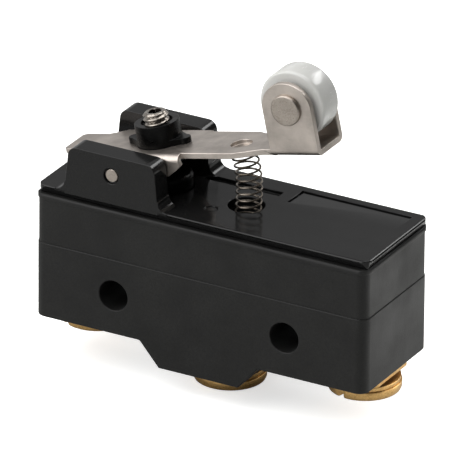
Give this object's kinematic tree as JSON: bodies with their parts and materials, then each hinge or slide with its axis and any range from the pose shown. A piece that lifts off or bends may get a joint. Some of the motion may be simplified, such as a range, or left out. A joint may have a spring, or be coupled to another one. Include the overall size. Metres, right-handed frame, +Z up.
{
  "type": "limit switch",
  "caption": "Snap-action limit switch in a black moulded case, with a hinged steel lever, a pale roller, a return spring and brass screw terminals.",
  "frame": {"origin": "midway between the two mounting holes, at half the case's thickness", "axes": "+X along the case towards the roller end, -Y out of the front face, +Z up towards the lever"},
  "size_m": [0.0498, 0.0176, 0.0462],
  "materials": {
    "case_plastic": "fine matt moulding",
    "gloss_black": "polished moulding",
    "steel": "rolled stainless sheet",
    "plated_steel": "bright plated steel",
    "spring_steel": "drawn wire",
    "roller_plastic": "smooth moulding",
    "seal_rubber": "soft",
    "blade_copper": "rolled strip",
    "silver": "contact rivet",
    "brass": "turned brass"
  },
  "bodies": {
    "case": {"base_housing": "case_plastic", "cover_housing": "case_plastic", "top_plate": "gloss_black", "hinge_pin": "steel", "stem_seal": "seal_rubber", "return_spring": "spring_steel", "common_terminal": "brass", "normally_open_terminal": "brass", "normally_closed_terminal": "brass", "normally_open_contact": "silver", "normally_closed_contact": "silver", "common_screw": "brass", "normally_open_screw": "brass", "normally_closed_screw": "brass", "common_washer": "brass", "normally_open_washer": "brass", "normally_closed_washer": "brass"},
    "lever": {"lever": "steel", "adjuster_insert": "gloss_black", "roller_axle": "steel"},
    "set_screw": {"set_screw": "plated_steel"},
    "roller": {"roller": "roller_plastic"},
    "plunger": {"plunger": "gloss_black"},
    "blade": {"moving_blade": "blade_copper", "snap_spring": "spring_steel", "moving_contact": "silver"}
  },
  "joints": [
    {"name": "lever_hinge", "type": "hinge", "parent": "case", "child": "lever", "pos_m": [-0.0133, 0, 0.0169], "axis": [0, 1, 0], "range_deg": [0, 11], "stiffness_Nm_per_rad": 0.15, "springref_deg": -8.59, "deforming": ["return_spring"]},
    {"name": "roller_spin", "type": "hinge", "parent": "lever", "child": "roller", "pos_m": [0.00955, 0, 0.0294], "axis": [0, 1, 0], "continuous": true},
    {"name": "set_screw_adjust", "type": "slide", "parent": "lever", "child": "set_screw", "axis": [-0.2147, 0, 0.9767], "range_m": [0, 0.0006]},
    {"name": "plunger_slide", "type": "slide", "parent": "case", "child": "plunger", "axis": [0, 0, -1], "range_m": [0, 0.000633]},
    {"name": "blade_hinge", "type": "hinge", "parent": "case", "child": "blade", "pos_m": [-0.0213, 0, 0.0077], "axis": [0, 1, 0], "range_deg": [0, 3.04]}
  ],
  "couplings": [
    {"joint": "plunger_slide", "follows": "lever_hinge", "m_per_rad": 0.003292},
    {"joint": "blade_hinge", "follows": "lever_hinge", "ratio": 0.27548}
  ]
}
